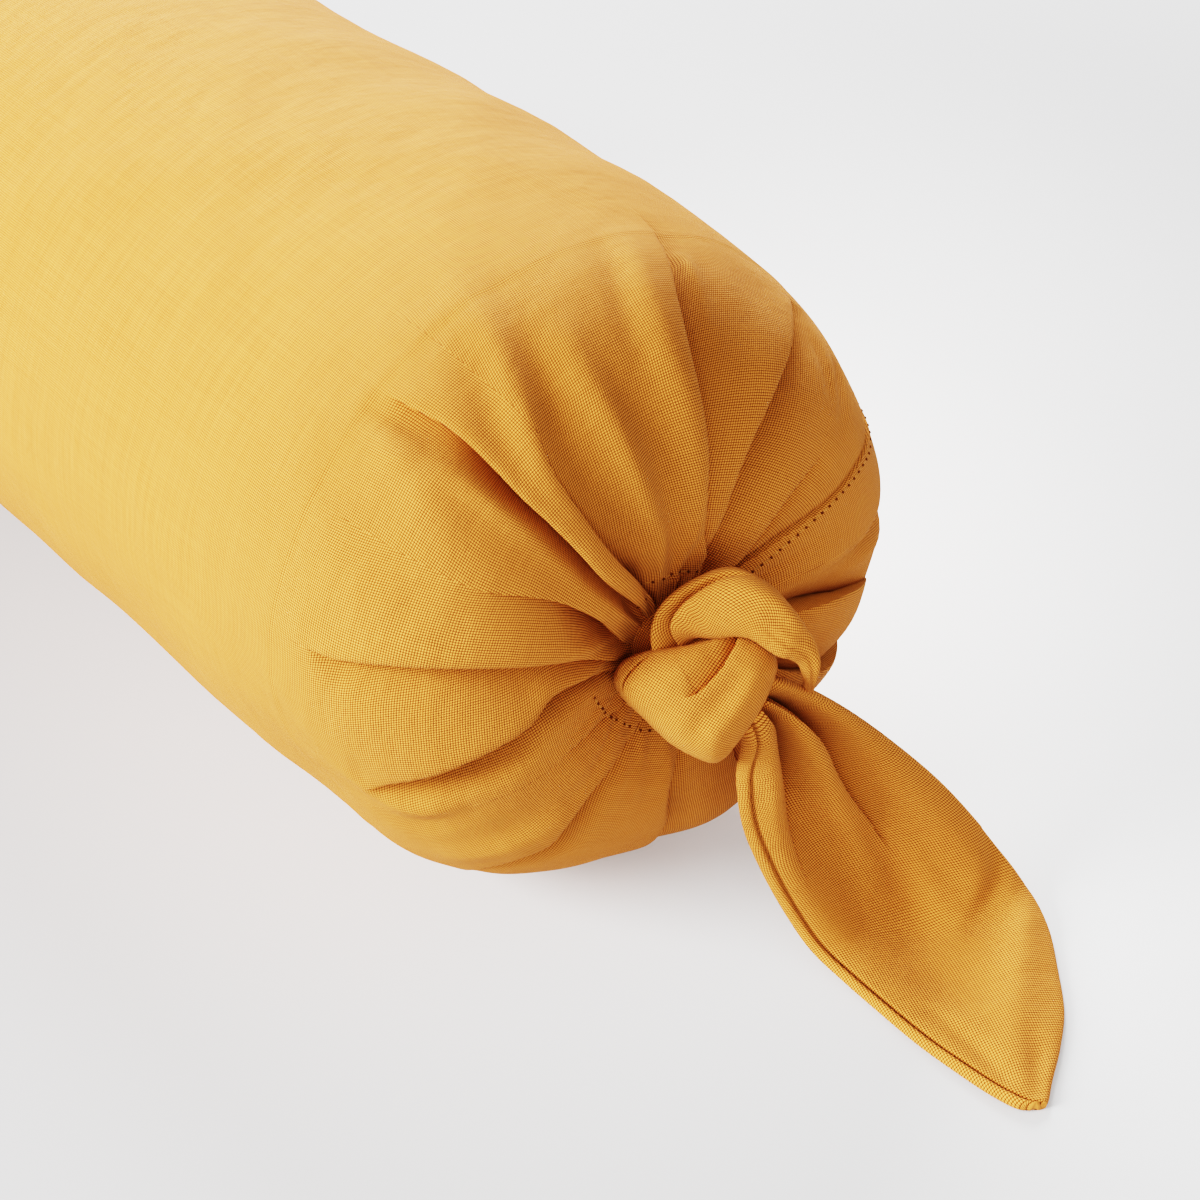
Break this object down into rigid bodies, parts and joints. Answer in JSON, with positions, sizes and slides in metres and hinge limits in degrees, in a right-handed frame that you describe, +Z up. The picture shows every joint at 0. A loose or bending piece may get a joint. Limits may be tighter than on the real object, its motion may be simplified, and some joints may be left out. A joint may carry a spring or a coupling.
{
  "type": "bolster cushion with knotted tie",
  "caption": "Round, long filled cushion with gathered ends, lying on its side, one end closed by a self-fabric tie in an overhand knot with a free pointed tail.",
  "frame": {"origin": "middle of the flat patch that the bolster rests on, under the middle of its length", "axes": "+X along the bolster towards the knotted end, +Z up"},
  "size_m": [0.619, 0.1999, 0.1869],
  "materials": {
    "cover_cloth": "matte mustard plain weave, cotton and linen, with fine slubs",
    "tie_cloth": "matte mustard plain weave, cotton and linen, double layer with a rolled edge seam"
  },
  "bodies": {
    "root": {"cushion": "cover_cloth", "tie": "tie_cloth"}
  },
  "joints": []
}
